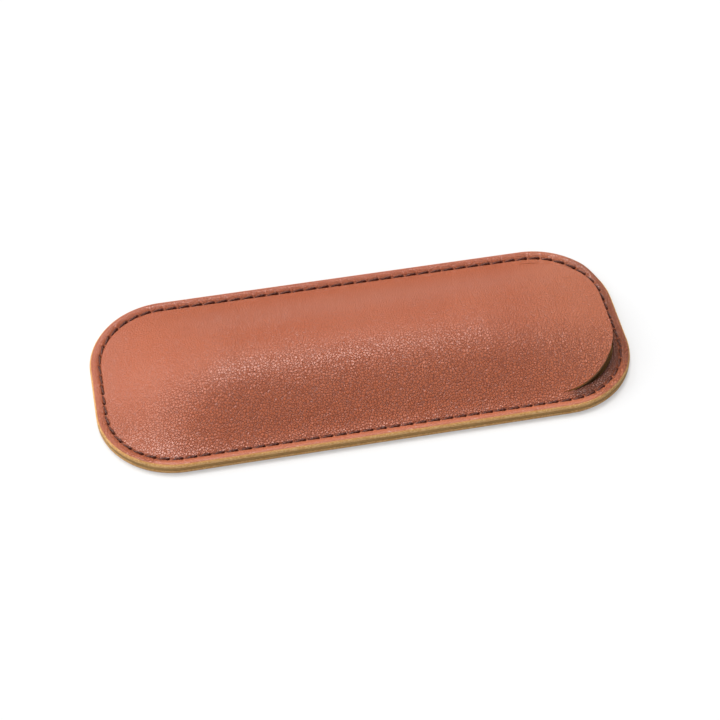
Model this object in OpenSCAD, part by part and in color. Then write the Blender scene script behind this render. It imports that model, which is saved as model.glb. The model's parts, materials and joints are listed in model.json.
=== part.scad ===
// Slip case for one fountain pen: two leather panels, each lined with suede and
// sewn together round the edge. The front panel is moulded into a long dome over
// the pen. At the mouth end a U-shaped slit frees a lip of that same leather,
// which bends up to let the pen in and springs back over it.
// The case lies flat on z = 0, its length runs along X and its mouth is at +X.

/* [Case outline] */
// Length of the case from the closed end to the mouth end
case_l = 130; // [112:1:160]
// Width of the case across both margins
case_w = 52; // [46:1:64]
// Corner radius of the outline
corner_r = 19; // [14:0.5:21]

/* [Leather and lining] */
// Thickness of the front panel and of the lip, which are one hide
front_t = 0.9; // [0.6:0.05:1.4]
// Thickness of the back panel
back_t = 0.9; // [0.7:0.05:1.6]
// Thickness of the suede linings
lining_t = 0.35; // [0.2:0.05:0.6]
// Thickness of the cement film between a leather and its lining
cement_t = 0.05; // [0.03:0.01:0.1]

/* [Pen dome] */
// Height of the dome above the flat margin
dome_h = 8.4; // [6:0.1:13]
// Width of the flat margin between the edge and the foot of the dome
margin_w = 3.3; // [3:0.1:4]
// Length over which the dome rises from the closed end
rise_l = 32; // [22:1:42]
// How gently the dome's sides run out into the margin
foot_softness = 1.7; // [1.3:0.1:2.2]
// How broad the dome's crown is along the pen
crown_breadth = 2; // [1.8:0.1:3]

/* [Mouth] */
// Height of the lip's tip above the flat margin
mouth_h = 3.9; // [3:0.1:6]
// How broad the dome's crown is at the mouth, where no pen rounds it
mouth_breadth = 3.3; // [2.4:0.1:4]
// Length over which the dome falls towards the lip's tip
fall_l = 46; // [30:1:56]

/* [Lip] */
// Length of the lip from its bend to its tip
lip_l = 16.2; // [12:0.2:20]
// Distance from the mouth end of the case to the lip's tip
tip_inset = 3.7; // [3.5:0.1:6]
// Distance from a side of the case to the side of the lip
side_inset = 4.5; // [4.2:0.1:6]
// How much rounder the lip's corners are than a line parallel to the edge
tip_roundness = 2.6; // [0:0.1:4]
// Width of the slit round the lip
slit_w = 0.4; // [0.3:0.05:0.8]
// Width of the crease left open across the lip's bend
crease_w = 0.3; // [0.3:0.05:0.6]

/* [Seam] */
// Distance from the edge to the seam
seam_inset = 2.35; // [1.9:0.05:2.5]
// Distance from one needle hole to the next
stitch_pitch = 3.2; // [2.6:0.1:4.5]
// Length of leather between two stitches, where the thread dives through it
stitch_gap = 0.6; // [0.5:0.05:1]
// Diameter of the sewing thread
thread_d = 0.5; // [0.35:0.05:0.55]
// How far the needle thread stands out of its furrow
thread_proud = 0.2; // [0.1:0.05:0.3]
// Slant of each stitch to the seam, in degrees
stitch_slant = 4; // [0:1:6]

/* [Hidden] */
$fn = 64;

// Stack of sheets in the margin, from the table up
lining_base_z = back_t + cement_t;
mid_z = lining_base_z + lining_t;
lining_off = front_t + cement_t;             // from the outer face down to the lining
inner_off = lining_off + lining_t;           // from the outer face down to the pen
margin_z = mid_z + inner_off;                // outer face of the front margin

// Plan of the dome and of the lip
corner_x = case_l / 2 - corner_r;            // centres of the outline's corners
corner_y = case_w / 2 - corner_r;
closed_x = margin_w - case_l / 2;            // where the dome starts to rise
tip_x = case_l / 2 - tip_inset;
bend_x = tip_x - lip_l;
fall_x = tip_x - fall_l;                     // where the dome starts to fall
lip_r = corner_r - side_inset + tip_roundness;

// Seam
thread_fn = 16;
running_gap = 0.02;                          // between a thread and its furrow
furrow_w = thread_d + 0.3;
seam_l = 4 * (corner_x + corner_y) + 2 * PI * (corner_r - seam_inset);
stitch_count = round(seam_l / stitch_pitch);
stitch_step = seam_l / stitch_count;
stitch_l = stitch_step - stitch_gap;
needle_z = margin_z + thread_proud - thread_d / 2;
bobbin_z = running_gap + thread_d / 2;

// Points at which the skin of the dome is worked out
beyond = 8;                                  // how far the skin runs past the outline
rise_rows = 9;
body_rows = 6;
fall_rows = 7;
lip_rows = 6;
half_columns = 9;

// --- Form of the dome ------------------------------------------------------

function ease(u) = let (c = min(max(u, 0), 1)) c * c * (3 - 2 * c);

// 0 along the pen, growing to 1 at the lip's tip
function fall(x) = pow(max(0, x - fall_x) / fall_l, 1.6);

// Height of the crown above the margin
function crown(x) = dome_h * ease((x - closed_x) / rise_l) - (dome_h - mouth_h) * fall(x);

// Half the width of the dome at its foot, which follows the closed end's corners
function foot(x) =
    let (past = max(0, -x - corner_x), r = corner_r - margin_w)
    corner_y + sqrt(max(0, r * r - past * past));

function breadth(x) = crown_breadth + (mouth_breadth - crown_breadth) * min(1, fall(x));

// Outer face of the front leather
function skin(x, y) =
    let (s = min(1, abs(y) / foot(x)))
    margin_z + crown(x) * pow(1 - pow(s, breadth(x)), foot_softness);

function spread(from, to, count) = [for (i = [0 : count]) from + (to - from) * i / count];

function columns(x) = concat(
    [-case_w / 2 - beyond],
    [for (j = [-half_columns : half_columns]) foot(x) * j / half_columns],
    [case_w / 2 + beyond]);

// Corner points of the sheet between two depths below the skin, row by row
function sheet_points(rows, depth, flat_from) =
    [for (x = rows) for (y = columns(max(x, closed_x)))
        [x, y, (x < flat_from ? skin(max(x, closed_x), y) : margin_z) - depth]];

// A closed sheet that follows the skin, from depth upper to depth lower below it.
// From x = flat_from on it is level with the margin.
module moulded_sheet(rows, upper, lower, flat_from = case_l) {
    n = 2 * half_columns + 3;
    m = len(rows);
    low = m * n;
    polyhedron(
        points = concat(sheet_points(rows, upper, flat_from), sheet_points(rows, lower, flat_from)),
        faces = concat(
            [for (i = [0 : m - 2]) for (j = [0 : n - 2]) let (a = i * n + j)
                each [[a, a + 1, a + n], [a + 1, a + n + 1, a + n]]],
            [for (i = [0 : m - 2]) for (j = [0 : n - 2]) let (a = low + i * n + j)
                each [[a, a + n, a + 1], [a + 1, a + n, a + n + 1]]],
            [for (j = [0 : n - 2]) let (a = j)
                each [[a, a + low, a + 1], [a + 1, a + low, a + low + 1]]],
            [for (j = [0 : n - 2]) let (a = (m - 1) * n + j)
                each [[a, a + 1, a + low], [a + 1, a + low + 1, a + low]]],
            [for (i = [0 : m - 2]) let (a = i * n)
                each [[a, a + n, a + low], [a + n, a + n + low, a + low]]],
            [for (i = [0 : m - 2]) let (a = i * n + n - 1)
                each [[a, a + low, a + n], [a + n, a + low, a + n + low]]]));
}

// --- Outlines --------------------------------------------------------------

// A rectangle with round corners, in true arcs
module rounded(l, w, r) {
    square([l - 2 * r, w], center = true);
    square([l, w - 2 * r], center = true);
    for (x = [-1, 1], y = [-1, 1])
        translate([x * (l / 2 - r), y * (w / 2 - r)]) circle(r);
}

// The outline of the case, drawn in by a distance
module outline(inset = 0) {
    rounded(case_l - 2 * inset, case_w - 2 * inset, corner_r - inset);
}

// The outline of the lip, grown by a distance and cut off at a line across it
module lip_outline(grow, from_x) {
    intersection() {
        rounded(2 * (tip_x + grow), case_w - 2 * side_inset + 2 * grow, lip_r + grow);
        translate([from_x, -case_w / 2]) square([case_l, case_w]);
    }
}

// A column of space over an outline, tall enough to cut the whole case
module column() {
    translate([0, 0, -1]) linear_extrude(margin_z + dome_h + 2) children();
}

// --- Leather and lining ----------------------------------------------------

// The front sheet between two depths, cut to the outline and slit round the lip
module front_sheet(upper, lower) {
    rows = concat(
        [-case_l / 2 - beyond],
        spread(closed_x, closed_x + rise_l, rise_rows),
        spread(closed_x + rise_l, fall_x, body_rows),
        spread(fall_x, bend_x, fall_rows),
        [bend_x + crease_w, case_l / 2 + beyond]);
    difference() {
        intersection() {
            moulded_sheet([for (i = [0 : len(rows) - 1]) if (i == 0 || rows[i] > rows[i - 1]) rows[i]],
                          upper, lower, flat_from = bend_x + crease_w / 2);
            column() outline();
        }
        column() lip_outline(slit_w, bend_x - crease_w / 2);
    }
}

// The lip between two depths, from its bend to its tip
module lip_sheet(upper, lower) {
    intersection() {
        moulded_sheet(spread(bend_x - 1, tip_x + 1, lip_rows), upper, lower);
        column() lip_outline(0, bend_x + crease_w / 2);
    }
}

// The furrow that the thread pulls into the leather, as a tool that cuts it
module furrow(z, depth) {
    translate([0, 0, z]) linear_extrude(depth) difference() {
        outline(seam_inset - furrow_w / 2);
        outline(seam_inset + furrow_w / 2);
    }
}

module front_panel() {
    color([0.75, 0.46, 0.36]) difference() {
        front_sheet(0, front_t);
        furrow(needle_z - thread_d / 2 - running_gap, thread_d + margin_z);
    }
}

module lip() {
    color([0.75, 0.46, 0.36]) lip_sheet(0, front_t);
}

module front_lining() {
    color([0.66, 0.50, 0.30]) front_sheet(lining_off, inner_off);
}

module lip_lining() {
    color([0.66, 0.50, 0.30]) lip_sheet(lining_off, inner_off);
}

module back_panel() {
    color([0.70, 0.43, 0.33]) difference() {
        linear_extrude(back_t) outline();
        furrow(-1, 1 + thread_d + 2 * running_gap);
    }
}

module back_lining() {
    color([0.66, 0.50, 0.30]) translate([0, 0, lining_base_z])
        linear_extrude(lining_t) outline();
}

// --- Seam ------------------------------------------------------------------

// One stitch, lying along X with round ends
module stitch() {
    straight = stitch_l - thread_d;
    rotate([0, 90, 0]) rotate_extrude($fn = thread_fn) intersection() {
        translate([0, -stitch_l]) square([thread_d, 2 * stitch_l]);
        union() {
            square([thread_d, straight], center = true);
            for (end = [-1, 1])
                translate([0, end * straight / 2]) circle(d = thread_d);
        }
    }
}

// Place and heading of the seam at a distance along it, from the middle of +X side
function seam_at(d) =
    let (r = corner_r - seam_inset, arc = PI * r / 2,
         sx = 2 * corner_x, sy = 2 * corner_y, quarter = arc + sx, half = quarter + arc + sy)
    d >= half ? let (p = seam_at(d - half)) [-p[0], -p[1], p[2] + 180]
    : d < sy ? [corner_x + r, d - corner_y, 90]
    : d < sy + arc ? let (a = (d - sy) / r * 180 / PI)
        [corner_x + r * cos(a), corner_y + r * sin(a), 90 + a]
    : d < sy + arc + sx ? [corner_x - (d - sy - arc), corner_y + r, 180]
    : let (a = 90 + (d - sy - arc - sx) / r * 180 / PI)
        [-corner_x + r * cos(a), corner_y + r * sin(a), 90 + a];

// One stitch after another along the whole seam, at a height
module stitches(z, slant) {
    for (i = [0 : stitch_count - 1])
        let (p = seam_at((i + 0.5) * stitch_step))
        translate([p[0], p[1], z]) rotate(p[2] + slant) stitch();
}

module needle_thread() {
    color([0.25, 0.13, 0.10]) stitches(needle_z, stitch_slant);
}

module bobbin_thread() {
    color([0.25, 0.13, 0.10]) stitches(bobbin_z, -stitch_slant);
}

front_panel();
lip();
front_lining();
lip_lining();
back_panel();
back_lining();
needle_thread();
bobbin_thread();
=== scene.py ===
"""Looks of a sewn leather slip case for one fountain pen.

The case is two lined leather panels sewn round the edge. The front panel is moulded into a
dome, and a U-shaped slit at the mouth frees a lip of the same hide, which bends up on the
joint lip_lift. Lengths are in metres, written as a number of millimetres times MM.
"""

import json
import logging
import math
from collections.abc import Callable, Sequence
from dataclasses import dataclass, field
from enum import Enum

import bmesh
import bpy
from mathutils import Matrix, Vector, noise
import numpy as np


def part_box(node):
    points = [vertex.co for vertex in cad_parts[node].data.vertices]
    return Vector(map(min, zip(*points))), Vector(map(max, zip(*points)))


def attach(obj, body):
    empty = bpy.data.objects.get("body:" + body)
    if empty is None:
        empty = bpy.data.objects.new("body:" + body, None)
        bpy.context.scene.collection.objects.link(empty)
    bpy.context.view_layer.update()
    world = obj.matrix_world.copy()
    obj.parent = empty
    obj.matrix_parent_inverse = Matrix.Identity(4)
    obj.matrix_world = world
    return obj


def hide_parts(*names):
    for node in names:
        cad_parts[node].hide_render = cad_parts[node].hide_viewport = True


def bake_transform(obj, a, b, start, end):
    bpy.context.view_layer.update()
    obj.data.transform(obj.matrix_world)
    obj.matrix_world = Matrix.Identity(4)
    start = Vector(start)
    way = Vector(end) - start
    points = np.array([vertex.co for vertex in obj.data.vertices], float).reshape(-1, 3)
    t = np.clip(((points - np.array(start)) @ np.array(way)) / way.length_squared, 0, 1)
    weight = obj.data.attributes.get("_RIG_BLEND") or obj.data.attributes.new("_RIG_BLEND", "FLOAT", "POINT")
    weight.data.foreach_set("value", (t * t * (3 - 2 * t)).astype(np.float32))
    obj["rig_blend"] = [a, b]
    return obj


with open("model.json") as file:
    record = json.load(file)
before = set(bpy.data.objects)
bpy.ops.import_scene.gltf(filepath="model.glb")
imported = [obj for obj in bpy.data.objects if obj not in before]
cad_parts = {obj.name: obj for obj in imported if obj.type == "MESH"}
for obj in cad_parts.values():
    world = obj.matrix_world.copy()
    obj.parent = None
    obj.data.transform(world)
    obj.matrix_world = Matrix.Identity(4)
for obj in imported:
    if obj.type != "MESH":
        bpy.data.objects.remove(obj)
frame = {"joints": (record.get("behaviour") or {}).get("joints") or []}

LOG = logging.getLogger("pen_case")
MM = 0.001
CASE_BODY = "case"
LIP_BODY = "lip"
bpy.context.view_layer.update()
WELD = 0.0005 * MM
SHARP_ANGLE = math.radians(50)

Colour = tuple[float, float, float]
Span = tuple[float, float]
Socket = bpy.types.NodeSocket
Input = Socket | float | Sequence[float]
Material = bpy.types.Material
Mesh = bmesh.types.BMesh
Piece = bpy.types.Object


class Face(Enum):
    """Which face of the case a row of stitches lies on."""

    FRONT = "front"
    BACK = "back"


def ease(share: float) -> float:
    """A smooth step from 0 to 1 as share goes from 0 to 1."""
    held = min(max(share, 0.0), 1.0)
    return held * held * (3 - 2 * held)


def bell(distance: float, reach: float) -> float:
    """A smooth bump, 1 at no distance and falling away over reach."""
    return math.exp(-((distance / reach) ** 2))


@dataclass(frozen=True)
class Fade:
    """A smooth coming in of something: the value where it starts, and over how much it comes."""

    start: float
    over: float

    def at(self, value: float) -> float:
        """How far it has come in at a value, from 0 to 1."""
        return ease((value - self.start) / self.over)


def mouthward(place: Vector) -> float:
    """1 where distance along the seam runs towards the middle of the mouth, -1 where away."""
    return -1.0 if place.y > 0 else 1.0


# --- Form of the case ---------------------------------------------------------------------


@dataclass(frozen=True)
class RimSpot:
    """A place on the rim: a point of the core that it is struck from, and its outward way."""

    core: Vector
    outward: Vector

    def at(self, radius: float) -> Vector:
        """The point in plan at a radius from the core."""
        return self.core + self.outward * radius


@dataclass
class CaseForm:
    """Plan and moulded shape of the case, from the frame's boxes and the hide's own sizes."""

    corner_r: float = 19 * MM
    margin_w: float = 2.8 * MM
    rise_l: float = 30.5 * MM
    fall_l: float = 31 * MM
    fall_bend: float = 1.18
    foot_softness: float = 1.62
    crown_breadth: float = 2.25
    mouth_breadth: float = 3.26
    mouth_h: float = 3.8 * MM
    side_inset: float = 4.5 * MM
    tip_roundness: float = 2.6 * MM
    slit_w: float = 0.4 * MM
    slit_start: float = 0.35
    slit_point: float = 4 * MM
    slit_rounds: int = 6
    rim_settle: float = 9 * MM
    seam_inset: float = 2.35 * MM
    stitch_pitch: float = 3.2 * MM
    pinch_depth: float = 0.16 * MM
    pinch_reach: float = 0.75 * MM
    puff: float = 0.38 * MM
    puff_reach: float = 1.35 * MM
    puff_w: float = 1.8 * MM
    lining_puff: float = 0.6
    mouth_roll: float = 2.5
    roll: Fade = Fade(60.5 * MM, 4 * MM)
    closed_loss: float = 0.6
    closing: Fade = Fade(57 * MM, 7 * MM)
    plump: float = 0.35 * MM
    lean: float = -1.1 * MM
    tip_draw: float = 0.3 * MM
    loose_rise: float = 3 * MM
    slack_h: float = 0.12 * MM
    slack_l: float = 17 * MM
    slack_narrowing: float = 1.6
    flex_h: float = 0.05 * MM
    flex_pitch: float = 1.7 * MM
    flex_run: float = 11 * MM
    flex_past_bend: float = 3 * MM
    flex_reach: float = 9 * MM
    half_l: float = field(init=False)
    half_w: float = field(init=False)
    back_t: float = field(init=False)
    lining_t: float = field(init=False)
    cement_t: float = field(init=False)
    front_t: float = field(init=False)
    margin_z: float = field(init=False)
    dome_h: float = field(init=False)
    tip_x: float = field(init=False)
    bend_x: float = field(init=False)

    def __post_init__(self) -> None:
        """Reads the sizes that the frame gives."""
        panel_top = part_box("front_panel")[1]
        lining_low, lining_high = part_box("back_lining")
        self.half_l, self.half_w = panel_top.x, panel_top.y
        self.back_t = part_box("back_panel")[1].z
        self.lining_t = lining_high.z - lining_low.z
        self.cement_t = lining_low.z - self.back_t
        self.front_t = panel_top.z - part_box("front_lining")[1].z - self.cement_t
        self.margin_z = lining_high.z + self.lining_t + self.cement_t + self.front_t
        self.dome_h = panel_top.z - self.margin_z + self.plump
        self.tip_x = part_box("lip")[1].x - self.tip_draw
        self.bend_x = next(j["pos_m"][0] for j in frame["joints"] if j["name"] == "lip_lift")

    @property
    def core_x(self) -> float:
        """Half the length of the core rectangle that the round corners are struck from."""
        return self.half_l - self.corner_r

    @property
    def core_y(self) -> float:
        """Half the width of that core rectangle."""
        return self.half_w - self.corner_r

    @property
    def closed_x(self) -> float:
        """Where the dome starts to rise, at the closed end."""
        return self.margin_w - self.half_l

    @property
    def lip_r(self) -> float:
        """Corner radius of the lip."""
        return self.corner_r - self.side_inset + self.tip_roundness

    @property
    def lip_half_w(self) -> float:
        """Half the width of the lip's outline."""
        return self.half_w - self.side_inset

    @property
    def seam_l(self) -> float:
        """Length of the whole seam."""
        straight = 4 * (self.core_x + self.core_y)
        return straight + 2 * math.pi * (self.corner_r - self.seam_inset)

    @property
    def stitch_count(self) -> int:
        """How many stitches the seam has."""
        return round(self.seam_l / self.stitch_pitch)

    @property
    def stitch_step(self) -> float:
        """Distance from one needle hole to the next."""
        return self.seam_l / self.stitch_count

    def fall(self, x: float) -> float:
        """How far the dome has fallen towards the lip's tip, from 0 to 1."""
        return (max(0.0, x - self.tip_x + self.fall_l) / self.fall_l) ** self.fall_bend

    def crown(self, x: float) -> float:
        """Height of the dome's crown above the margin."""
        risen = self.dome_h * ease((x - self.closed_x) / self.rise_l)
        return risen - (self.dome_h - self.mouth_h) * self.fall(x)

    def foot(self, x: float) -> float:
        """Half the width of the dome at its foot."""
        past, radius = max(0.0, -x - self.core_x), self.corner_r - self.margin_w
        return self.core_y + math.sqrt(max(0.0, radius * radius - past * past))

    def lip_edge(self, x: float) -> float:
        """Half the width of the lip."""
        past = max(0.0, x - (self.tip_x - self.lip_r))
        return self.lip_half_w - self.lip_r + math.sqrt(max(0.0, self.lip_r**2 - past * past))

    def inset(self, x: float, y: float) -> float:
        """Distance in plan from a point in to the edge of the case."""
        qx, qy = abs(x) - self.core_x, abs(y) - self.core_y
        return self.corner_r - math.hypot(max(qx, 0.0), max(qy, 0.0)) - min(max(qx, qy), 0.0)

    def rise(self, x: float, y: float) -> float:
        """Height of the dome above the margin.

        Args:
            x: place along the case.
            y: place across it.

        Returns:
            The height, 0 at the dome's foot and outside it.
        """
        foot = self.foot(x)
        across = max(-1.0, min(1.0, y / foot))
        share = min(1.0, abs(across - self.lean / foot * (1 - across * across)))
        spread = self.mouth_breadth - self.crown_breadth
        breadth = self.crown_breadth + spread * min(1.0, self.fall(x))
        return self.crown(x) * (1 - share**breadth) ** self.foot_softness

    def moulded(self, x: float, y: float) -> float:
        """Height of the dome and the lip, grain side up, before the seam is pulled tight.

        Args:
            x: place along the case.
            y: place across it.

        Returns:
            The height over the table, with the hide's slack and the creases of its bending.
        """
        rise = self.rise(x, y)
        loose = ease(rise / self.loose_rise)
        wave = Vector((x, y * self.slack_narrowing, 0.0)) / self.slack_l
        slack = noise.noise(wave) * self.slack_h
        crease = Vector((x / self.flex_pitch, y / self.flex_run, 5.0))
        flexed = noise.noise(crease) * self.flex_h
        flexed *= bell(x - self.bend_x - self.flex_past_bend, self.flex_reach)
        return self.margin_z + rise + (slack + flexed) * loose

    def fullness(self, x: float) -> float:
        """How far the edge puffs up outside the seam: full beside the dome, rolled at the mouth."""
        return 1 - self.mouth_roll * self.roll.at(x) - self.closed_loss * self.closing.at(-x)

    def pinch(self, inset: float, x: float) -> float:
        """How far the seam pulls the leather down, below the puffed edge outside it."""
        puffed = self.puff * self.fullness(x) * ease((self.seam_inset - inset) / self.puff_reach)
        return self.pinch_depth * bell(inset - self.seam_inset, self.pinch_reach) - puffed

    def parting(self, inset: float, x: float) -> float:
        """Height at which the front leather meets its lining in the margin."""
        puffed = self.lining_puff * self.puff * max(0.0, self.fullness(x))
        return self.margin_z - self.front_t + puffed * ease(1 - inset / self.puff_w)

    def skin(self, x: float, y: float) -> float:
        """Height of the grain side of the dome and the lip over the table."""
        return self.moulded(x, y) - self.pinch(self.inset(x, y), x)

    def margin(self, x: float, y: float) -> float:
        """Height of the grain side of the margin, which falls level beside the lip."""
        settled = 1 - ease((x - self.bend_x) / self.rim_settle)
        return self.margin_z + self.rise(x, y) * settled - self.pinch(self.inset(x, y), x)

    def rim(self, distance: float) -> RimSpot:
        """The place on the rim at a distance along the seam.

        Args:
            distance: length along the seam from the near end of the mouth's straight side.

        Returns:
            The core point and the outward way there.
        """
        arc = math.pi * (self.corner_r - self.seam_inset) / 2
        half = self.seam_l / 2
        turn, along = divmod(distance % self.seam_l, half)
        flip = -1.0 if turn else 1.0
        core_x, core_y = self.core_x, self.core_y
        if along < 2 * core_y:
            core, angle = (core_x, along - core_y), 0.0
        elif along < 2 * core_y + arc:
            core, angle = (core_x, core_y), (along - 2 * core_y) / arc * math.pi / 2
        elif along < 2 * core_y + arc + 2 * core_x:
            core, angle = (core_x - (along - 2 * core_y - arc), core_y), math.pi / 2
        else:
            past = along - 2 * core_y - arc - 2 * core_x
            core, angle = (-core_x, core_y), math.pi / 2 + past / arc * math.pi / 2
        outward = Vector((math.cos(angle), math.sin(angle), 0.0)) * flip
        return RimSpot(Vector((core[0] * flip, core[1] * flip, 0.0)), outward)

    def rim_point(self, distance: float, inset: float, height: float = 0.0) -> Vector:
        """The point at a distance along the seam, an inset from the edge and a height."""
        return self.rim(distance).at(self.corner_r - inset) + Vector((0.0, 0.0, height))

    def bend_distances(self) -> tuple[float, float]:
        """Distances along the seam at which it passes the lip's bend."""
        corner = 2 * self.core_y + math.pi * (self.corner_r - self.seam_inset) / 2
        far, near = self.core_x - self.bend_x, self.core_x + self.bend_x
        return corner + far, corner + near + self.seam_l / 2

    def slit_gap(self, point: Vector) -> float:
        """How far a point lies outside the slit's outer side.

        Args:
            point: the point, of which only the plan counts.

        Returns:
            The distance in plan, less than 0 inside.
        """
        widened = ease((point.x - self.bend_x) / self.slit_point)
        radius = self.lip_r + self.slit_w * (self.slit_start + (1 - self.slit_start) * widened)
        qx = abs(point.x) - (self.tip_x - self.lip_r)
        qy = abs(point.y) - (self.lip_half_w - self.lip_r)
        return math.hypot(max(qx, 0.0), max(qy, 0.0)) + min(max(qx, qy), 0.0) - radius

    def inner_inset(self, distance: float) -> float:
        """How far in the margin's leather reaches: to the dome's foot, or to the slit.

        Args:
            distance: length along the seam.

        Returns:
            The inset from the edge.
        """
        spot = self.rim(distance)
        if spot.at(self.corner_r).x < self.bend_x:
            return self.margin_w
        inset = self.side_inset
        for _ in range(self.slit_rounds):
            inset += self.slit_gap(spot.at(self.corner_r - inset))
        return inset


# --- Materials ----------------------------------------------------------------------------


class Recipe:
    """A material's node tree under construction."""

    def __init__(self, name: str) -> None:
        """Starts a material with one Principled shader.

        Args:
            name: its name.
        """
        self.material = bpy.data.materials.new(name)
        self.material.use_nodes = True
        self.tree = self.material.node_tree
        self.shader = self.tree.nodes["Principled BSDF"]

    def node(self, kind: str, inputs: dict[str | int, Input], **settings: object) -> bpy.types.Node:
        """Adds a node.

        Args:
            kind: the node's type, without its ShaderNode prefix.
            inputs: a socket to link from, or a value, for each input by name or number.
            **settings: the node's own properties.

        Returns:
            The new node.
        """
        made = self.tree.nodes.new("ShaderNode" + kind)
        for name, value in settings.items():
            setattr(made, name, value)
        for name, value in inputs.items():
            self.feed(made.inputs[name], value)
        return made

    def feed(self, socket: Socket, value: Input) -> None:
        """Links an input, or sets its value.

        Args:
            socket: the input.
            value: the socket to link from, a number, or a vector or colour.
        """
        if isinstance(value, Socket):
            self.tree.links.new(value, socket)
        elif isinstance(value, (int, float)):
            socket.default_value = value
        else:
            padded = (*value, 1.0) if len(socket.default_value) == 4 else tuple(value)
            socket.default_value = padded

    def hide_place(self) -> Socket:
        """The place on the unbent hide, in millimetres."""
        return self.node("Attribute", {}, attribute_name="hide").outputs["Vector"]

    def fact(self, name: str) -> Socket:
        """A number that the mesh carries at each point."""
        return self.node("Attribute", {}, attribute_name=name).outputs["Fac"]

    def math(self, operation: str, a: Input, b: Input = 0.0) -> Socket:
        """One sum with one or two numbers."""
        return self.node("Math", {0: a, 1: b}, operation=operation).outputs[0]

    def noise(self, place: Input, size: float, detail: float) -> Socket:
        """Cloudy noise from 0 to 1, whose clouds are about size millimetres wide."""
        made = self.node("TexNoise", {"Vector": place, "Scale": 1 / size, "Detail": detail})
        return made.outputs["Fac"]

    def cells(self, place: Input, size: float, feature: str) -> Socket:
        """Distances of a kind in a pattern of cells about size millimetres wide."""
        made = self.node("TexVoronoi", {"Vector": place, "Scale": 1 / size}, feature=feature)
        return made.outputs["Distance"]

    def times(self, a: Input, b: Input) -> Socket:
        """Two numbers multiplied."""
        return self.math("MULTIPLY", a, b)

    def plus(self, a: Input, b: Input) -> Socket:
        """Two numbers added."""
        return self.math("ADD", a, b)

    def span(self, value: Input, low: float, high: float, to: Span = (0.0, 1.0)) -> Socket:
        """Value from low to high, smoothly turned into a number in the range to."""
        limits = {"Value": value, "From Min": low, "From Max": high,
                  "To Min": to[0], "To Max": to[1]}
        return self.node("MapRange", limits, interpolation_type="SMOOTHSTEP").outputs["Result"]

    def mix(self, share: Input, a: Input, b: Input) -> Socket:
        """Colour a turning into colour b as share goes from 0 to 1."""
        return self.node("Mix", {0: share, 6: a, 7: b}, data_type="RGBA").outputs[2]

    def bump(self, height: Input, depth: float) -> Socket:
        """Relief whose height of 1 is a depth in millimetres."""
        return self.node("Bump", {"Height": height, "Distance": depth * MM}).outputs["Normal"]

    def finish(self, **sockets: Input) -> Material:
        """Sets the shader's sockets, named with _ for a space, and returns the material."""
        for name, value in sockets.items():
            self.feed(self.shader.inputs[name.replace("_", " ")], value)
        return self.material


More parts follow.
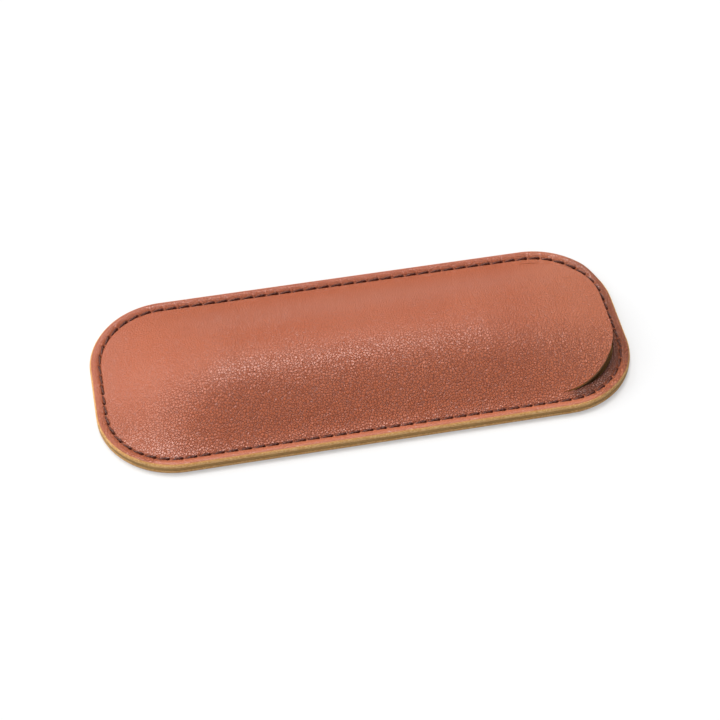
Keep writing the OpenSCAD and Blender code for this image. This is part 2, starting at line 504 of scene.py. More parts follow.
@dataclass(frozen=True)
class GrainLeather:
    """Cognac hide: pebbled and glazed on the grain side, fibrous and tan where it is cut.

    Sizes and places are in millimetres on the unbent hide. A span along the case, or across
    it, gives the two places between which a quality changes.
    """

    name: str
    grain: Colour = (0.495, 0.130, 0.060)
    # Paler tone: random in places, and painted light on the lip and the near rim.
    pale_tone_and_light: Colour = (0.55, 0.165, 0.080)
    # Painted shade colour for the grain's creases.
    crease_shade: Colour = (0.22, 0.045, 0.022)
    fibre: Colour = (0.98, 0.62, 0.27)
    dark_fibre: Colour = (0.74, 0.36, 0.10)
    stretch_highlight: Colour = (0.66, 0.36, 0.25)
    # Painted shade, mixed in where the mesh marks it.
    shaded: Colour = (0.05, 0.016, 0.011)
    pebble: float = 0.42
    crease_cell: float = 0.63
    pebble_weight: float = 0.22
    crease_weight: float = 0.60
    pore_weight: float = 0.10
    fold_weight: float = 0.28
    fibre_weight: float = 2.5
    relief: float = 0.16
    near_relief: float = 1.45
    far_relief: float = 0.7
    relief_across: Span = (-13.5, 0.5)
    closed_relief: float = 0.6
    closed_along: Span = (-58.0, -36.0)
    pressed_relief: float = 0.3
    near_rim_across: Span = (-24.3, -23.5)
    lit_lip_along: Span = (36.0, 56.0)
    flex_along: Span = (34.0, 58.0)
    glaze_roughness: Span = (0.32, 0.37)
    fibre_dullness: float = 0.35

    def depth_share(self, r: Recipe, along: Input, aside: Input, near_rim: Input) -> Socket:
        """How deep the grain stands: more on the near side, less at the near rim and closed end.

        Args:
            r: the material under construction.
            along: place along the hide.
            aside: place across it.
            near_rim: 0 on the near rim, which is pressed smooth and painted paler for the light it catches,
                1 elsewhere.

        Returns:
            The share of the full depth.
        """
        across = r.span(aside, *self.relief_across, (self.near_relief, self.far_relief))
        across = r.times(across, r.span(near_rim, 0.0, 1.0, (self.pressed_relief, 1.0)))
        return r.times(across, r.span(along, *self.closed_along, (self.closed_relief, 1.0)))

    def folds(self, r: Recipe, along: Input, bent: Input) -> Socket:
        """Fine folds that run across the case where the lip flexes.

        Args:
            r: the material under construction.
            along: place along the hide.
            bent: place on the hide, wavering.

        Returns:
            Their height, from 0 to 1.
        """
        start, end = self.flex_along
        middle = (start + end) / 2
        flexed = r.times(r.span(along, start, middle), r.span(along, middle, end, (1.0, 0.0)))
        drawn = r.node("VectorMath", {0: bent, 1: (1.7, 0.3, 0.3)}, operation="MULTIPLY").outputs[0]
        return r.times(flexed, r.span(r.noise(drawn, 1.0, 2.0), 0.3, 0.7))

    def material(self) -> Material:
        """Builds the leather.

        Returns:
            The material.
        """
        r = Recipe(self.name)
        place = r.hide_place()
        waver = r.node("TexNoise", {"Vector": place, "Scale": 0.8, "Detail": 2.0}).outputs["Color"]
        bent = r.node("VectorMath", {0: waver, 1: (0.5, 0.5, 0.5), 2: place},
                      operation="MULTIPLY_ADD").outputs[0]
        along, aside = r.node("SeparateXYZ", {0: place}).outputs[:2]
        near_rim = r.span(aside, *self.near_rim_across)
        share = self.depth_share(r, along, aside, near_rim)
        pebbles = r.span(r.cells(bent, self.pebble, "SMOOTH_F1"), 0.75, 0.1)
        creases = r.span(r.cells(bent, self.crease_cell, "DISTANCE_TO_EDGE"), 0.0, 0.17)
        grain = r.plus(r.times(pebbles, self.pebble_weight), r.times(creases, self.crease_weight))
        grain = r.plus(grain, r.times(r.noise(place, 0.5, 1.0), self.pore_weight))
        grain = r.plus(grain, r.times(self.folds(r, along, bent), self.fold_weight))

        cloud, strain = r.noise(place, 14.0, 4.0), r.fact("strain")
        face = r.mix(r.span(cloud, 0.25, 0.8, (0.0, 0.30)), self.grain, self.pale_tone_and_light)
        # Painted light: paler towards the lip, for its sheen, and on the near rim, for the light it catches.
        face = r.mix(r.span(along, *self.lit_lip_along, (0.0, 0.8)), face, self.pale_tone_and_light)
        face = r.mix(r.span(near_rim, 0.0, 1.0, (0.7, 0.0)), face, self.pale_tone_and_light)
        # Painted shade in the grain's creases, deeper on the near slope where the light grazes.
        crease_shading = r.times(r.span(creases, 0.0, 0.8, (0.44, 0.0)), share)
        face = r.mix(crease_shading, face, self.crease_shade)
        # Paler where the grain is stretched over the bridges between stitches, partly a painted highlight on
        # those bridges.
        face = r.mix(r.span(strain, 0.0, 1.0, (0.0, 0.6)), face, self.stretch_highlight)
        # Painted shade where the mesh marks it: needle holes, the pocket under the lip, and the rims round
        # the mouth and of the lip.
        face = r.mix(r.span(strain, -0.8, -0.05, (0.9, 0.0)), face, self.shaded)

        speck = r.noise(place, 0.28, 5.0)
        ragged = r.plus(r.fact("depth"), r.times(speck, 0.16))
        cut = r.span(ragged, 0.14, 0.24)
        edge_darkening = r.span(ragged, 0.22, 0.62, (0.12, 0.0))
        tufts = r.span(r.math("SUBTRACT", speck, edge_darkening), 0.42, 0.55)
        fibres = r.mix(tufts, self.dark_fibre, self.fibre)
        # The same painted shade on the cut fibres.
        fibres = r.mix(r.span(strain, -0.8, -0.1, (0.7, 0.0)), fibres, self.shaded)
        rough = r.plus(r.span(cloud, 0.2, 0.8, self.glaze_roughness),
                       r.times(cut, self.fibre_dullness))

        height = r.plus(r.times(grain, r.math("SUBTRACT", 1.0, cut)),
                        r.times(r.times(speck, cut), self.fibre_weight))
        normal = r.bump(r.times(height, share), self.relief)
        return r.finish(Base_Color=r.mix(cut, face, fibres), Roughness=rough, Normal=normal,
                        IOR=1.52)


@dataclass(frozen=True)
class Suede:
    """Short-napped lining with a soft sheen and a slightly patchy dye."""

    name: str
    nap: Colour = (0.62, 0.36, 0.13)
    brushed: Colour = (0.38, 0.20, 0.07)
    # Painted shade colour for the lip's rim.
    edge_darkening: Colour = (0.11, 0.048, 0.020)

    def material(self) -> Material:
        """Builds the suede.

        Returns:
            The material.
        """
        r = Recipe(self.name)
        place = r.hide_place()
        nap = r.noise(place, 0.22, 6.0)
        patches = r.noise(place, 5.0, 3.0)
        share = r.plus(r.span(nap, 0.3, 0.7, (0.0, 0.75)), r.span(patches, 0.35, 0.7, (0.0, 0.25)))
        colour = r.mix(share, self.brushed, self.nap)
        # Painted shade on the lip's rim, where the mesh marks it.
        colour = r.mix(r.span(r.fact("strain"), -0.8, -0.1, (0.9, 0.0)), colour, self.edge_darkening)
        normal = r.bump(nap, 0.09)
        return r.finish(Base_Color=colour, Roughness=0.92, Normal=normal, Sheen_Weight=0.25,
                        Sheen_Roughness=0.45, Sheen_Tint=(0.75, 0.55, 0.35))


@dataclass(frozen=True)
class WaxedThread:
    """Dark bonded thread whose plies wind round it."""

    name: str
    ply: Colour = (0.20, 0.064, 0.042)
    groove_shade: Colour = (0.036, 0.011, 0.008)
    turns: float = 3.2
    plies: int = 3

    def material(self) -> Material:
        """Builds the thread.

        Returns:
            The material.
        """
        r = Recipe(self.name)
        lay = r.node("SeparateXYZ", {0: r.node("UVMap", {}, uv_map="lay").outputs[0]}).outputs
        phase = r.plus(r.times(lay[0], self.turns * math.tau),
                       r.times(lay[1], self.plies * math.tau))
        ridge = r.math("ABSOLUTE", r.math("SINE", r.times(phase, 0.5)))
        fuzz = r.noise(r.hide_place(), 0.12, 3.0)
        shown = r.times(ridge, r.span(fuzz, 0.2, 0.6, (0.6, 1.0)))
        # Painted shade in the grooves between the plies.
        colour = r.mix(shown, self.groove_shade, self.ply)
        normal = r.bump(r.plus(ridge, r.times(fuzz, 0.4)), 0.07)
        return r.finish(Base_Color=colour, Roughness=0.42, Normal=normal, IOR=1.42)


@dataclass(frozen=True)
class PaleFloor:
    """White studio floor that keeps the shadow of the case."""

    name: str = "pale_floor"
    paint: float = 0.52
    lift: float = 0.41

    def material(self) -> Material:
        """Builds the floor's paint.

        Returns:
            The material, which only the camera sees lifted to white.
        """
        r = Recipe(self.name)
        seen = r.node("LightPath", {}).outputs["Is Camera Ray"]
        return r.finish(Base_Color=(self.paint,) * 3, Roughness=0.9, Specular_IOR_Level=0.1,
                        Emission_Color=(1.0, 1.0, 1.0), Emission_Strength=r.times(seen, self.lift))


# --- Making meshes ------------------------------------------------------------------------


@dataclass(frozen=True)
class Spot:
    """A point of a mesh, with the facts that its finish reads.

    depth is how deep in the hide it lies, 0 on the grain side and 1 on the flesh side.
    The third fact is how far the grain is stretched pale there, partly a painted highlight, up to 1,
    or how much painted shade it gets, in needle holes, under the lip and on the rims round the mouth and the
    lip, down to -1.
    """

    point: Vector
    depth: float = 0.0
    strain: float = 0.0


def new_mesh() -> Mesh:
    """Starts an empty mesh.

    Returns:
        The mesh, whose points carry depth and the stretch, painted highlight and painted shade of the grain.
    """
    mesh = bmesh.new()
    mesh.verts.layers.float.new("depth")
    mesh.verts.layers.float.new("strain")
    return mesh


def set_in_scene(name: str, data: bpy.types.ID) -> Piece:
    """Puts a mesh, a lamp or a camera in the scene.

    Args:
        name: what it is called.
        data: the mesh, lamp or camera.

    Returns:
        The new object.
    """
    made = bpy.data.objects.new(name, data)
    bpy.context.scene.collection.objects.link(made)
    return made


def new_piece(name: str, mesh: Mesh, finish: Material) -> Piece:
    """Turns a finished mesh into a smooth piece that knows its place on the unbent hide.

    Args:
        name: the piece's name.
        mesh: its shape, in place. It is freed.
        finish: its material.

    Returns:
        The new object.
    """
    hide = mesh.verts.layers.float_vector.new("hide")
    for vert in mesh.verts:
        vert[hide] = vert.co / MM
    data = bpy.data.meshes.new(name)
    mesh.to_mesh(data)
    mesh.free()
    data.materials.append(finish)
    data.polygons.foreach_set("use_smooth", [True] * len(data.polygons))
    data.set_sharp_from_angle(angle=SHARP_ANGLE)
    return set_in_scene(name, data)


def mapped_grid(mesh: Mesh, across: int, along: int,
                place: Callable[[int, int], Spot]) -> list[bmesh.types.BMVert]:
    """Adds a grid and puts each of its points in place.

    Args:
        mesh: what it is added to.
        across: how many faces it has one way.
        along: how many it has the other way.
        place: the spot for a column from 0 to across and a row from 0 to along.

    Returns:
        The grid's points.
    """
    depths, stretch_and_light_layer = mesh.verts.layers.float["depth"], mesh.verts.layers.float["strain"]
    made = bmesh.ops.create_grid(mesh, x_segments=across, y_segments=along, size=1.0)["verts"]
    for vert in made:
        column = round((vert.co.x + 1) / 2 * across)
        row = round((vert.co.y + 1) / 2 * along)
        spot = place(column, row)
        vert.co, vert[depths], vert[stretch_and_light_layer] = spot.point, spot.depth, spot.strain
    return made


def close_ends(mesh: Mesh) -> None:
    """Fills every open end and turns all faces outwards."""
    bmesh.ops.holes_fill(mesh, edges=[e for e in mesh.edges if e.is_boundary], sides=0)
    bmesh.ops.recalc_face_normals(mesh, faces=mesh.faces[:])


def outward_faces(mesh: Mesh) -> None:
    """Welds what meets and turns every face of a closed shape outwards."""
    bmesh.ops.remove_doubles(mesh, verts=mesh.verts[:], dist=WELD)
    bmesh.ops.recalc_face_normals(mesh, faces=mesh.faces[:])


# --- Hide and lining ----------------------------------------------------------------------


@dataclass
class SewnPiece:
    """A piece sewn into the case. Each kind says what shape it has."""

    form: CaseForm

    def shape(self) -> Mesh:
        """The closed mesh of the piece, in place."""
        raise NotImplementedError

    def build(self, name: str, finish: Material) -> Piece:
        """Builds the piece, which rides on the case.

        Args:
            name: its name.
            finish: its material.

        Returns:
            The new object.
        """
        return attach(new_piece(name, self.shape(), finish), CASE_BODY)


@dataclass
class Ring(SewnPiece):
    """A piece swept round the case from cross-sections, hollow or closed in the middle."""

    steps_per_stitch: int = field(default=4, kw_only=True)
    hollow: bool = field(default=True, kw_only=True)

    def section(self, distance: float) -> list[Spot]:
        """The spots of the cross-section at a distance along the seam."""
        raise NotImplementedError

    def stops(self) -> list[float]:
        """Where the cross-sections stand along the seam."""
        steps = self.steps_per_stitch * self.form.stitch_count
        return [self.form.seam_l * i / steps for i in range(steps)]

    def shape(self) -> Mesh:
        """Sweeps the cross-sections round the case.

        Returns:
            The closed mesh.
        """
        sections = [self.section(distance) for distance in self.stops()]
        count, lines = len(sections), len(sections[0])
        mesh = new_mesh()
        mapped_grid(mesh, count, lines if self.hollow else lines - 1,
                    lambda i, j: sections[i % count][j % lines])
        outward_faces(mesh)
        if not self.hollow:
            close_ends(mesh)
        return mesh


@dataclass
class MouldedSheet(SewnPiece):
    """The part of a sheet inside the margin: the dome and, past the bend, the lip."""

    upper: float
    lower: float
    columns: int = 120
    corner_rows: int = 30
    body_rows: int = 170
    lip_rows: int = 40
    edge_round: float = 0.16 * MM
    wall_angle: float = math.radians(45)
    wall_from: float = 0.3 * MM
    row_clearance: float = 0.02 * MM
    crowding: float = 0.4
    # Painted shade on the rim of the lip's lower faces, for the dark gap under it.
    rim_w: float = 0.6 * MM
    lip_rim_shade: float = 0.75
    rim_softness: float = 1.4
    rim_start: float = 4 * MM
    bend_l: float = 9.5 * MM

    def stations(self) -> list[float]:
        """Places the rows along the case, closer together where the outline turns.

        Returns:
            Where each row lies, from the closed end to the lip's tip.
        """
        f = self.form
        radius = f.corner_r - f.margin_w
        corner = [-f.core_x - radius * math.cos(math.pi / 2 * i / self.corner_rows)
                  for i in range(self.corner_rows)]
        step = (f.bend_x + f.core_x) / self.body_rows
        body = [-f.core_x + step * i for i in range(self.body_rows)]
        centre = f.tip_x - f.lip_r
        first = math.asin(max(0.0, f.bend_x + self.row_clearance - centre) / f.lip_r)
        turn = (math.pi / 2 - first) / self.lip_rows
        lip = [centre + f.lip_r * math.sin(first + turn * i) for i in range(self.lip_rows + 1)]
        return [*corner, *body, f.bend_x, *lip]

    def half_width(self, x: float) -> float:
        """Half the width of the sheet: to the dome's foot, or to the lip's edge."""
        return self.form.foot(x) if x <= self.form.bend_x else self.form.lip_edge(x)

    def face(self, mesh: Mesh, below: float) -> None:
        """Adds one face of the sheet. The rim of all but the grain side gets painted shade, for the dark gap
        under the lip.

        Args:
            mesh: what it is added to.
            below: its depth below the grain side.
        """
        f, rows = self.form, self.stations()

        def place(column: int, row: int) -> Spot:
            """Puts a point of the grid in place.

            Args:
                column: its column across the sheet.
                row: its row along the sheet.

            Returns:
                The spot.
            """
            x, share = rows[row], 2 * column / self.columns - 1
            y = self.half_width(x) * share * (1 + self.crowding - self.crowding * share * share)
            if not below:
                return Spot(Vector((x, y, f.skin(x, y))))
            # Painted shade on the rim of the lower faces, for the dark gap under the lip.
            free = min(self.half_width(x) - abs(y), f.tip_x - x) / self.rim_w
            dark = ease(self.rim_softness - free) * ease((x - f.bend_x) / self.rim_start)
            return Spot(Vector((x, y, f.moulded(x, y) - below)), 0.0, -self.lip_rim_shade * dark)

        mapped_grid(mesh, self.columns, len(rows) - 1, place)

    def shape(self) -> Mesh:
        """Makes the sheet and rounds its free edge.

        Returns:
            The closed mesh.
        """
        mesh = new_mesh()
        self.face(mesh, self.upper)
        self.face(mesh, self.lower)
        bmesh.ops.bridge_loops(mesh, edges=[e for e in mesh.edges if e.is_boundary])
        bmesh.ops.recalc_face_normals(mesh, faces=mesh.faces[:])
        wall = [e for e in mesh.edges if len(e.link_faces) == 2
                and e.calc_face_angle(0.0) > self.wall_angle
                and min(v.co.x for v in e.verts) > self.form.bend_x + self.wall_from]
        bmesh.ops.bevel(mesh, geom=wall, offset=self.edge_round, segments=3, profile=0.5,
                        affect="EDGES", material=-1, clamp_overlap=True)
        depths = mesh.verts.layers.float["depth"]
        for vert in mesh.verts:
            vert[depths] = self.depth(vert.co)
        return mesh

    def depth(self, point: Vector) -> float:
        """How deep in the sheet a point lies."""
        below = self.form.skin(point.x, point.y) - point.z
        return min(max((below - self.upper) / (self.lower - self.upper), 0.0), 1.0)

    def build(self, name: str, finish: Material) -> Piece:
        """Builds the sheet and lets it bend with the lip.

        Args:
            name: the piece's name.
            finish: its material.

        Returns:
            The new object.
        """
        piece, bend_x = new_piece(name, self.shape(), finish), self.form.bend_x
        start = Vector((bend_x, 0.0, 0.0))
        end = Vector((bend_x + self.bend_l, 0.0, 0.0))
        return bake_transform(piece, CASE_BODY, LIP_BODY, start=start, end=end)


@dataclass
class FrontMargin(Ring):
    """The margin of the front leather, from its cut edge in to the dome or the slit."""

    steps_per_stitch: int = 20
    furrow_reach: float = 0.34 * MM
    furrow_depth: float = 0.28 * MM
    outer_steepness: float = 0.62
    bridge_reach: float = 0.22 * MM
    bridge_height: float = 0.36 * MM
    bridge_breadth: float = 1.6
    # Paler grain on the bridges between stitches, partly a painted highlight.
    bridge_highlight: float = 0.8
    highlight_reach: float = 0.3 * MM
    hole_offset: float = 0.46 * MM
    hole_length: float = 0.38 * MM
    hole_width: float = 0.25 * MM
    hole_depth: float = 0.75 * MM
    bevel: float = 0.5 * MM
    bevel_drop: float = 0.5 * MM
    bevel_straight: float = 0.45
    inner_lines: int = 6
    # Painted shade in the pocket under the lip and on the rim round the mouth.
    pocket_shade: float = 0.56
    mouth_rim_shade_share: float = 0.62
    pocket_along: Fade = Fade(44 * MM, 5 * MM)
    pocket_in: Fade = Fade(-0.4 * MM, 1.2 * MM)
    pocket_near: Fade = Fade(-7 * MM, 10 * MM)
    mouth_rim_shade_along: Fade = Fade(52 * MM, 8 * MM)
    mouth_rim_shade_far: Fade = Fade(-23 * MM, 12 * MM)
    wall_draw: float = 0.03 * MM
    ragged_h: float = 0.04 * MM
    ragged_l: float = 0.7 * MM
    bend_gap: float = 0.01 * MM
    seam_lines: tuple[float, ...] = (0.45, 0.33, 0.22, 0.11, 0.0, -0.11, -0.22, -0.33, -0.48)
    outer_lines: tuple[float, ...] = (1.55, 1.25, 1.0, 0.85, 0.72, 0.62, 0.52, 0.42, 0.32, 0.22,
                                      0.12, 0.05, 0.0)
    wall_levels: tuple[float, ...] = (0.35, 0.7, 1.0)

    def across_gap(self, distance: float) -> float:
        """Distance along the seam to the nearest gap between two stitches."""
        step = self.form.stitch_step
        return (distance / step - round(distance / step)) * step

    def bevelled(self, inset: float) -> float:
        """How far the edge is rounded off."""
        share = max(0.0, 1 - inset / self.bevel)
        curved = (1 - self.bevel_straight) * share * share
        return self.bevel_drop * (self.bevel_straight * share + curved)

    def shade(self, plan: Vector, off: float) -> float:
        """How much painted shade the hide gets: in the channel of the pocket under the lip, and on the rim
        round the mouth, where the lip's shadow falls.

        Args:
            plan: the place in plan.
            off: distance in from the seam.

        Returns:
            The darkness, from 0 to 1.
        """
        pocket = self.pocket_along.at(plan.x) * self.pocket_in.at(off)
        pocket *= self.pocket_near.at(-plan.y)
        mouth_rim_shade = self.mouth_rim_shade_along.at(plan.x) * self.mouth_rim_shade_far.at(plan.y)
        return self.pocket_shade * max(pocket, self.mouth_rim_shade_share * mouth_rim_shade)

    def top(self, distance: float, inset: float) -> Spot:
        """A spot of the grain side, with the furrow and needle holes of the seam.

        Args:
            distance: length along the seam.
            inset: distance in from the edge.

        Returns:
            The spot.
        """
        f = self.form
        plan = f.rim_point(distance, inset)
        off, gap = inset - f.seam_inset, self.across_gap(distance)
        onward = gap * mouthward(plan)
        between = bell(gap, self.bridge_reach)
        reach = self.furrow_reach * (1.0 if off > 0 else self.outer_steepness)
        sunk = self.furrow_depth * bell(off, reach)
        sunk -= self.bridge_height * between * bell(off, self.bridge_breadth * self.furrow_reach)
        hole = bell(math.hypot((onward + self.hole_offset) / self.hole_length,
                               off / self.hole_width), 1.0)
        sunk += self.hole_depth * hole
        drop = self.bevelled(inset)
        height = f.margin(plan.x, plan.y) - sunk - drop
        # Painted light on the grain: a paler bridge between stitches, partly a painted highlight, and
        # painted shade in the needle hole, in the pocket under the lip and on the rim round the mouth.
        strain = self.bridge_highlight * between * bell(off, self.highlight_reach) - hole
        strain -= self.shade(plan, off)
        return Spot(plan + Vector((0, 0, height)), drop / f.front_t, strain)

    def section(self, distance: float) -> list[Spot]:
        """Lays out a cross-section of the margin.

        Args:
            distance: length along the seam.

        Returns:
            Its spots, from the inner line out over the grain side and back underneath.
        """
        f = self.form
        inner, first = f.inner_inset(distance), f.seam_inset + self.seam_lines[0] * MM
        insets = [inner + (first - inner) * i / self.inner_lines for i in range(self.inner_lines)]
        insets += [f.seam_inset + line * MM for line in self.seam_lines]
        insets += [line * MM for line in self.outer_lines]
        spots = [self.top(distance, inset) for inset in insets]
        edge = spots[-1]
        under = f.parting(0.0, edge.point.x)
        for level in self.wall_levels:
            torn = noise.noise(Vector((distance, level * MM, 0.0)) / self.ragged_l) * self.ragged_h
            height = edge.point.z + (under - edge.point.z) * level
            spots.append(Spot(f.rim_point(distance, self.wall_draw - torn, height),
                              edge.depth + (1 - edge.depth) * level))
        for inset in (f.puff_w / 2, f.puff_w, inner):
            plan = f.rim_point(distance, inset)
            spots.append(Spot(plan + Vector((0, 0, f.parting(inset, plan.x))), 1.0))
        return spots

    def stops(self) -> list[float]:
        """Adds a cross-section on each side of the lip's bend."""
        bends, gap = self.form.bend_distances(), self.bend_gap
        return sorted([*super().stops(), *(bend + side for bend in bends for side in (-gap, gap))])


@dataclass
class LiningMargin(Ring):
    """The margin of the front lining, cemented under the front leather."""

    trim: float = 0.045 * MM
    ragged_l: float = 0.9 * MM

    def section(self, distance: float) -> list[Spot]:
        """Lays out a cross-section of the lining.

        Args:
            distance: length along the seam.

        Returns:
            Its spots, out over the top from the inner line and back underneath.
        """
        f = self.form
        low, inner = f.back_t + f.cement_t + f.lining_t, f.inner_inset(distance)
        ragged = self.trim * (1 + noise.noise(f.rim_point(distance, 0.0) / self.ragged_l))
        insets = (inner, f.puff_w, f.puff_w / 2, ragged, ragged * 0.6, ragged, inner)
        high = [f.parting(inset, f.rim_point(distance, inset).x) - f.cement_t for inset in insets]
        heights = (*high[:4], (low + high[4]) / 2, low, low)
        return [Spot(f.rim_point(distance, *place)) for place in zip(insets, heights)]


@dataclass
class FlatPanel(Ring):
    """A flat sheet to the whole outline of the case, lining or leather."""

    low: float
    high: float
    hollow: bool = field(default=False, kw_only=True)
    edge_round: float = 0.0
    trim: float = 0.05 * MM
    ragged_l: float = 0.8 * MM
    middle: float = 0.93
    furrow: bool = False
    furrow_share: float = 0.6
    furrow_half: float = 0.55 * MM
    furrow_depths: tuple[tuple[float, float], ...] = (
        (-1.0, 0.0), (-0.4, 0.42 * MM), (0.0, 0.5 * MM), (0.4, 0.42 * MM), (1.0, 0.0))

    def levels(self, distance: float) -> list[tuple[float, float]]:
        """Inset and height of each line of the panel, from the top's middle to the underside's.

        Args:
            distance: length along the seam.

        Returns:
            Pairs of inset and height.
        """
        f, middle = self.form, self.middle * self.form.corner_r
        ragged = self.trim * (1 + noise.noise(f.rim_point(distance, 0.0) / self.ragged_l))
        halfway = self.low * 0.5 + self.high * 0.5
        lines = [(middle, self.high), (ragged, self.high), (ragged * 0.4, halfway)]
        if self.edge_round:
            r = self.edge_round
            lines += [(r * (1 - math.cos(a)) + ragged * 0.3, self.low + r * (1 - math.sin(a)))
                      for a in (0.0, math.pi / 6, math.pi / 3, math.pi / 2)]
        else:
            lines += [(ragged, self.low)]
        if self.furrow:
            lines += [(f.seam_inset + off * self.furrow_half, self.low + sunk)
                      for off, sunk in self.furrow_depths]
        lines.append((middle, self.low))
        return lines

    def spot(self, distance: float, inset: float, height: float) -> Spot:
        """A spot of the panel. The furrow is pressed into the grain, so it stays grain side.

        Args:
            distance: length along the seam.
            inset: distance in from the edge.
            height: height over the table.

        Returns:
            The spot.
        """
        depth = (height - self.low) / (self.high - self.low)
        if inset > self.edge_round + MM and depth < self.furrow_share:
            depth = 0.0
        return Spot(self.form.rim_point(distance, inset, height), depth)

    def section(self, distance: float) -> list[Spot]:
        """The spots of half a cross-section, from the top's middle to the underside's."""
        return [self.spot(distance, *place) for place in self.levels(distance)]


# --- Seam ---------------------------------------------------------------------------------


@dataclass(frozen=True)
class StitchEnd:
    """How one end of a stitch thins and dives into its needle hole."""

    taper: float
    taper_power: float
    dive: float
    dive_power: float


@dataclass
class Stitching(SewnPiece):
    """One face of the lockstitch seam: a row of slanted stitches that dive at both ends."""

    face: Face
    thread_d: float = 0.45 * MM
    reach: float = 3.1 * MM
    slant: float = math.radians(9)
    slant_spread: float = 0.35
    lift_spread: float = 0.03 * MM
    fatness: float = 1.04
    mouth_end: StitchEnd = StitchEnd(0.3, 8, 0.6 * MM, 7)
    closed_end: StitchEnd = StitchEnd(0.36, 2, 0.4 * MM, 2.4)
    front_lift: float = 0.1 * MM
    back_lift: float = 0.03 * MM
    weld: float = 0.002 * MM
    sections: int = 10
    sides: int = 7

    def profile(self, along: float) -> tuple[float, float]:
        """Radius and sinking of a stitch at a share of its length, from -1 to 1 at the mouth."""
        end, share = self.mouth_end if along > 0 else self.closed_end, abs(along)
        radius = self.thread_d / 2 * (self.fatness - end.taper * share**end.taper_power)
        return radius, end.dive * share**end.dive_power

    def height(self) -> float:
        """Height of the middle line of the stitches."""
        if self.face is Face.FRONT:
            return self.form.margin_z - self.form.pinch_depth + self.front_lift
        return self.thread_d / 2 + self.back_lift

    def stitch(self, mesh: Mesh, number: int) -> None:
        """Adds one stitch.

        Args:
            mesh: what it is added to.
            number: which stitch it is, counted along the seam.
        """
        f, up = self.form, 1.0 if self.face is Face.FRONT else -1.0
        middle = (number + 0.5) * f.stitch_step
        spot = f.rim(middle)
        tangent = Vector((-spot.outward.y, spot.outward.x, 0.0))
        lean = self.slant * (1 + self.slant_spread * noise.noise(Vector((number * 1.7, up, 0.0))))
        heading = Matrix.Rotation(lean * up, 3, "Z") @ tangent
        side = Vector((-heading.y, heading.x, 0.0))
        lift = noise.noise(Vector((number * 0.9, 3.0, up))) * self.lift_spread
        centre = f.rim_point(middle, f.seam_inset, self.height() + lift * up)

        def place(column: int, row: int) -> Spot:
            """Puts a point of the thread's tube in place.

            Args:
                column: its column round the thread.
                row: its row along it.

            Returns:
                The spot.
            """
            along = 2 * row / self.sections - 1
            radius, sunk = self.profile(along * mouthward(centre))
            turn = math.tau * column / self.sides
            ring = side * math.cos(turn) + Vector((0, 0, math.sin(turn)))
            bowed = centre + heading * (along * self.reach / 2) - Vector((0, 0, sunk * up))
            return Spot(bowed + ring * radius)

        uv = mesh.loops.layers.uv["lay"]
        before = len(mesh.faces)
        made = mapped_grid(mesh, self.sides, self.sections, place)
        mesh.faces.ensure_lookup_table()
        for index, tube_face in enumerate(mesh.faces[before:]):
            row, column = divmod(index, self.sides)
            for corner, (du, dv) in zip(tube_face.loops, ((0, 0), (1, 0), (1, 1), (0, 1))):
                corner[uv].uv = ((row + dv) / self.sections, (column + du) / self.sides)
        bmesh.ops.remove_doubles(mesh, verts=made, dist=self.weld)

    def shape(self) -> Mesh:
        """Makes the whole row of stitches.

        Returns:
            The mesh, each stitch closed by itself.
        """
        mesh = new_mesh()
        mesh.loops.layers.uv.new("lay")
        for number in range(self.form.stitch_count):
            self.stitch(mesh, number)
        close_ends(mesh)
        return mesh


# --- Assemblies ---------------------------------------------------------------------------


@dataclass
class Case:
    """The whole case: two panels, their linings and the seam."""

    form: CaseForm
    front: GrainLeather = GrainLeather("cognac_leather")
    back: GrainLeather = GrainLeather("cognac_leather_back", near_relief=1.0, far_relief=1.0)
    lining: Suede = Suede("ochre_suede")
    thread: WaxedThread = WaxedThread("dark_thread")

    def build_front(self, suede: Material) -> list[Piece]:
        """Builds the front leather and its lining, each with its margin.

        Args:
            suede: the lining's material.

        Returns:
            The new pieces.
        """
        f, leather = self.form, self.front.material()
        dome = MouldedSheet(f, 0.0, f.front_t).build("front_leather_dome", leather)
        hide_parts("front_panel", "lip")
        margin = FrontMargin(f).build("front_leather_margin", leather)
        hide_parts("front_panel")
        upper = f.front_t + f.cement_t
        under = MouldedSheet(f, upper, upper + f.lining_t, columns=60, body_rows=90,
                             edge_round=0.08 * MM)
        inner = under.build("front_lining_dome", suede)
        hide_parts("front_lining", "lip_lining")
        rim = LiningMargin(f).build("front_lining_margin", suede)
        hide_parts("front_lining")
        2 * f.foot(0.0)
        return [dome, margin, inner, rim]

    def build_back(self, suede: Material) -> list[Piece]:
        """Builds the back leather and its lining.

        Args:
            suede: the lining's material.

        Returns:
            The new pieces.
        """
        f = self.form
        panel = FlatPanel(f, 0.0, f.back_t, edge_round=0.3 * MM, furrow=True)
        back = panel.build("back_leather", self.back.material())
        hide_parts("back_panel")
        low = f.back_t + f.cement_t
        lining = FlatPanel(f, low, low + f.lining_t, trim=0.09 * MM)
        inner = lining.build("back_lining_sheet", suede)
        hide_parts("back_lining")
        return [back, inner]

    def build_seam(self) -> list[Piece]:
        """Builds both faces of the seam.

        Returns:
            The new pieces.
        """
        dark = self.thread.material()
        made = []
        for face, name, node in ((Face.FRONT, "needle_stitches", "needle_thread"),
                                 (Face.BACK, "bobbin_stitches", "bobbin_thread")):
            piece = Stitching(self.form, face).build(name, dark)
            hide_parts(node)
            made.append(piece)
        return made

    def build(self) -> list[Piece]:
        """Builds every piece of the case."""
        suede = self.lining.material()
        return [*self.build_front(suede), *self.build_back(suede), *self.build_seam()]


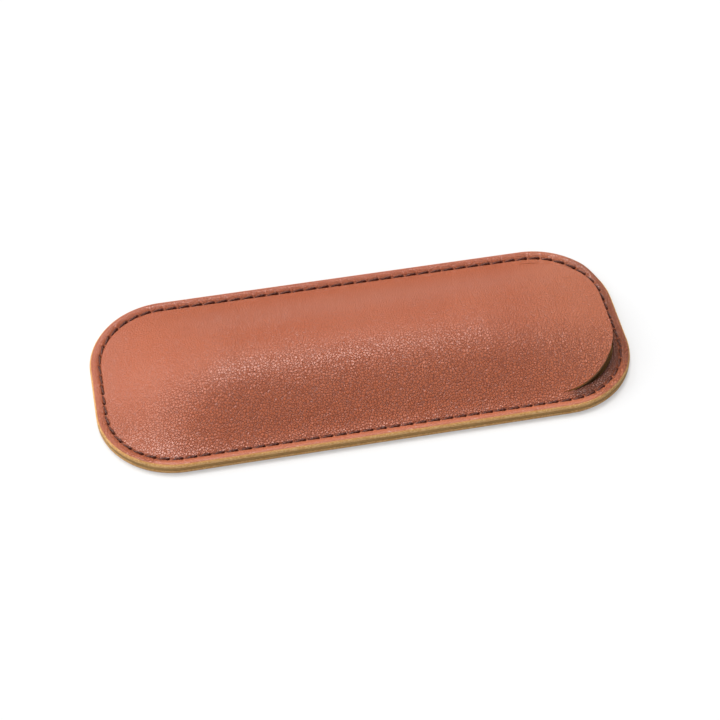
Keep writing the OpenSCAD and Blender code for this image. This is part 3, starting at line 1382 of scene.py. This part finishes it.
def toward(azimuth: float, elevation: float) -> Vector:
    """The way from the case to something, by angles in degrees.

    Args:
        azimuth: where it stands, from straight behind the case round towards the mouth.
        elevation: how high it stands.

    Returns:
        A vector of length 1.
    """
    turn, level = math.radians(azimuth), math.cos(math.radians(elevation))
    rise = math.sin(math.radians(elevation))
    return Vector((level * math.sin(turn), level * math.cos(turn), rise))


@dataclass(frozen=True)
class Lamp:
    """A soft light, far off, and how wide it looks from the case. Its angles are in degrees."""

    name: str
    azimuth: float
    elevation: float
    strength: float
    width: float

    def hang(self) -> None:
        """Hangs the light."""
        lamp = bpy.data.lights.new(self.name, "SUN")
        lamp.energy = self.strength
        lamp.angle = math.radians(self.width)
        way = toward(self.azimuth, self.elevation)
        set_in_scene(self.name, lamp).rotation_euler = way.to_track_quat("Z", "Y").to_euler()


@dataclass
class Studio:
    """Floor, lights and camera. The camera's azimuth and elevation are in degrees."""

    azimuth: float = 191.014
    elevation: float = 48.989
    distance: float = 458.566 * MM
    lens: float = 94.169
    shift: tuple[float, float] = (-0.00095, 0.00088)
    floor_half: float = 1.5
    floor_drop: float = 0.02 * MM
    sky: float = 0.08
    lamps: tuple[Lamp, ...] = (Lamp("key", -15, 71, 2.1, 24), Lamp("window", -66, 36, 1.6, 44),
                               Lamp("wall", 32, 57, 0.40, 44), Lamp("fill", -165, 12, 0.8, 60))

    def build_floor(self) -> None:
        """Lays the floor, a hair below the case so that the two don't share a plane."""
        mesh = bmesh.new()
        bmesh.ops.create_grid(mesh, x_segments=2, y_segments=2, size=self.floor_half)
        bmesh.ops.translate(mesh, verts=mesh.verts[:], vec=(0.0, 0.0, -self.floor_drop))
        data = bpy.data.meshes.new("studio_floor")
        mesh.to_mesh(data)
        mesh.free()
        data.materials.append(PaleFloor().material())
        floor = set_in_scene("studio_floor", data)

    def build_sky(self) -> None:
        """Sets a weak sky, which only the camera sees as white."""
        world = bpy.data.worlds.new("studio")
        world.use_nodes = True
        tree = world.node_tree
        path = tree.nodes.new("ShaderNodeLightPath")
        level = tree.nodes.new("ShaderNodeMapRange")
        level.inputs["To Min"].default_value = self.sky
        level.inputs["To Max"].default_value = 1.0
        tree.links.new(path.outputs["Is Camera Ray"], level.inputs["Value"])
        sky = tree.nodes["Background"]
        sky.inputs["Color"].default_value = (1.0, 1.0, 1.0, 1.0)
        tree.links.new(level.outputs["Result"], sky.inputs["Strength"])
        bpy.context.scene.world = world

    def build_camera(self) -> None:
        """Sets up the camera."""
        lens = bpy.data.cameras.new("camera")
        lens.lens = self.lens
        lens.sensor_width = 36.0
        lens.shift_x, lens.shift_y = self.shift
        lens.clip_start, lens.clip_end = 0.01, 10.0
        camera, back = set_in_scene("camera", lens), toward(self.azimuth, self.elevation)
        camera.location = back * self.distance
        camera.rotation_euler = (-back).to_track_quat("-Z", "Y").to_euler()
        bpy.context.scene.camera = camera

    def build(self) -> None:
        """Builds the studio."""
        self.build_camera()
        self.build_floor()
        for lamp in self.lamps:
            lamp.hang()
        self.build_sky()
        bpy.context.scene.view_settings.view_transform = "Standard"


def main() -> None:
    """Builds the studio and the case, and reports each piece."""
    logging.basicConfig(level=logging.INFO, format="%(name)s: %(message)s")
    Studio().build()
    for piece in Case(CaseForm()).build():
        LOG.info("%s has %d faces", piece.name, len(piece.data.polygons))


if __name__ == "__main__":
    main()
